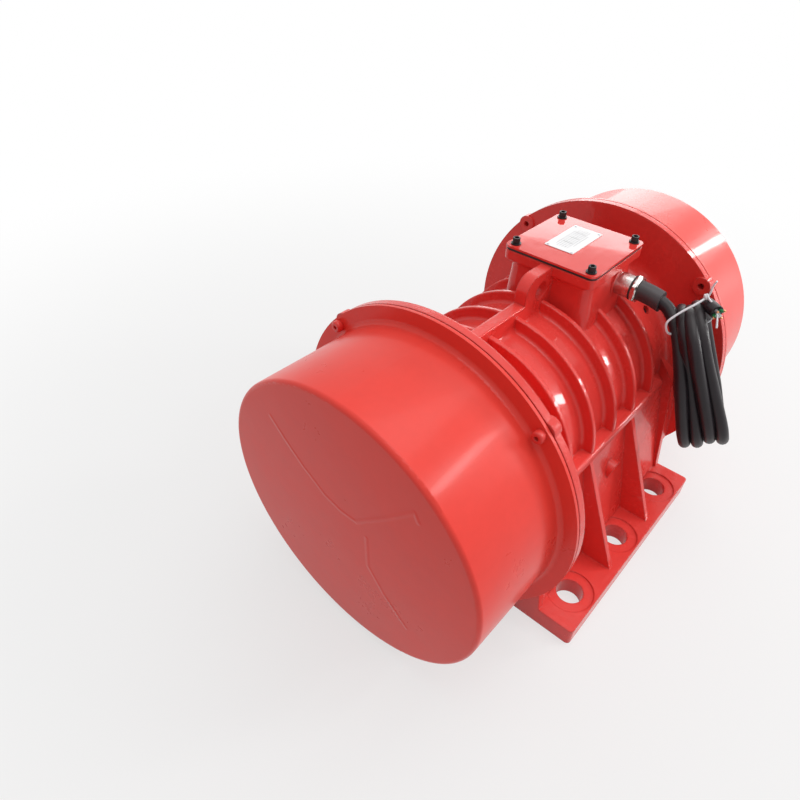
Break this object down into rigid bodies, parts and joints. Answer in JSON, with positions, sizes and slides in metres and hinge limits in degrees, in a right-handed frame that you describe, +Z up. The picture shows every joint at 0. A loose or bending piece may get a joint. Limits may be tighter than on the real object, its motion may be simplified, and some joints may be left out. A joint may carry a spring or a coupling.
{
  "type": "vibration motor",
  "caption": "Foot-mounted electric vibration motor with ribbed cast frame, round end covers over eccentric weights, terminal box and coiled supply cable.",
  "frame": {"origin": "on the ground plane under the shaft, midway between the two end flanges and between the feet", "axes": "+X along the shaft towards the end nearer the terminal box, +Z up, the supply cable leaves towards -Y"},
  "size_m": [0.675, 0.4771, 0.395],
  "materials": {
    "red_paint": "gloss red enamel over casting and sheet",
    "black_rubber": "matt",
    "cast_iron": "machined and as cast",
    "zinc_steel": "zinc plated",
    "bearing_steel": "ground",
    "bearing_brass": "machined",
    "core_steel": "stacked laminations",
    "copper": "varnished copper wire",
    "cast_aluminium": "as cast",
    "weight_steel": "flame cut and machined",
    "bare_aluminium": "satin",
    "black_steel": "black oxide",
    "moulded_block": "moulded",
    "nickel": "nickel plated",
    "sleeve_rubber": "satin",
    "cable_rubber": "satin",
    "white_plastic": "smooth"
  },
  "bodies": {
    "housing": {"frame_housing": "red_paint", "end_cover_left": "red_paint", "end_cover_right": "red_paint", "cover_seal_left": "black_rubber", "cover_seal_right": "black_rubber", "cover_screws": "red_paint", "bearing_shield_left": "cast_iron", "bearing_shield_right": "cast_iron", "shield_bolts": "zinc_steel", "bearing_cap_left": "cast_iron", "bearing_cap_right": "cast_iron", "bearing_cap_screws": "zinc_steel", "shaft_seals_left": "black_rubber", "shaft_seals_right": "black_rubber", "bearing_outer_ring_left": "bearing_steel", "bearing_outer_ring_right": "bearing_steel", "stator_core": "core_steel", "stator_windings": "copper", "terminal_gasket": "black_rubber", "terminal_cover": "red_paint", "terminal_cover_washers": "black_steel", "terminal_cover_screws": "black_steel", "nameplate": "bare_aluminium", "nameplate_rivets": "bare_aluminium", "terminal_block": "moulded_block", "terminal_studs": "bearing_brass", "earth_screw": "zinc_steel", "grease_plugs": "zinc_steel", "cable_gland_body": "nickel", "cable_gland_seal": "black_rubber", "cable_gland_nut": "nickel", "cable_gland_locknut": "nickel", "cable_sleeve": "sleeve_rubber", "supply_cable": "cable_rubber", "cable_hank": "cable_rubber", "cable_tail": "cable_rubber", "cable_tie": "white_plastic"},
    "rotor": {"shaft": "bearing_steel", "rotor_core": "core_steel", "rotor_end_rings": "cast_aluminium", "bearing_inner_ring_left": "bearing_steel", "bearing_inner_ring_right": "bearing_steel", "fixed_weight_left": "weight_steel", "fixed_weight_right": "weight_steel", "weight_keys": "bearing_steel", "scale_disc_left": "bare_aluminium", "scale_disc_right": "bare_aluminium", "shaft_end_washers": "zinc_steel", "shaft_end_bolts": "zinc_steel"},
    "adjustable_weight_left": {"adjustable_weight_left": "weight_steel", "clamp_bolt_left": "zinc_steel"},
    "bearing_cage_left": {"bearing_cage_left": "bearing_brass", "bearing_rollers_left": "bearing_steel"},
    "adjustable_weight_right": {"adjustable_weight_right": "weight_steel", "clamp_bolt_right": "zinc_steel"},
    "bearing_cage_right": {"bearing_cage_right": "bearing_brass", "bearing_rollers_right": "bearing_steel"}
  },
  "joints": [
    {"name": "rotor_spin", "type": "hinge", "parent": "housing", "child": "rotor", "pos_m": [0, 0, 0.192], "axis": [1, 0, 0], "continuous": true},
    {"name": "weight_adjust_left", "type": "hinge", "parent": "rotor", "child": "adjustable_weight_left", "pos_m": [-0.2873, 0, 0.192], "axis": [1, 0, 0], "range_deg": [0, 180]},
    {"name": "weight_adjust_right", "type": "hinge", "parent": "rotor", "child": "adjustable_weight_right", "pos_m": [0.2873, 0, 0.192], "axis": [1, 0, 0], "range_deg": [0, 180]},
    {"name": "bearing_cage_spin_left", "type": "hinge", "parent": "housing", "child": "bearing_cage_left", "pos_m": [-0.1575, 0, 0.192], "axis": [1, 0, 0], "continuous": true},
    {"name": "bearing_cage_spin_right", "type": "hinge", "parent": "housing", "child": "bearing_cage_right", "pos_m": [0.1575, 0, 0.192], "axis": [1, 0, 0], "continuous": true}
  ],
  "couplings": [
    {"joint": "bearing_cage_spin_left", "follows": "rotor_spin", "ratio": 0.4016},
    {"joint": "bearing_cage_spin_right", "follows": "rotor_spin", "ratio": 0.4016}
  ]
}
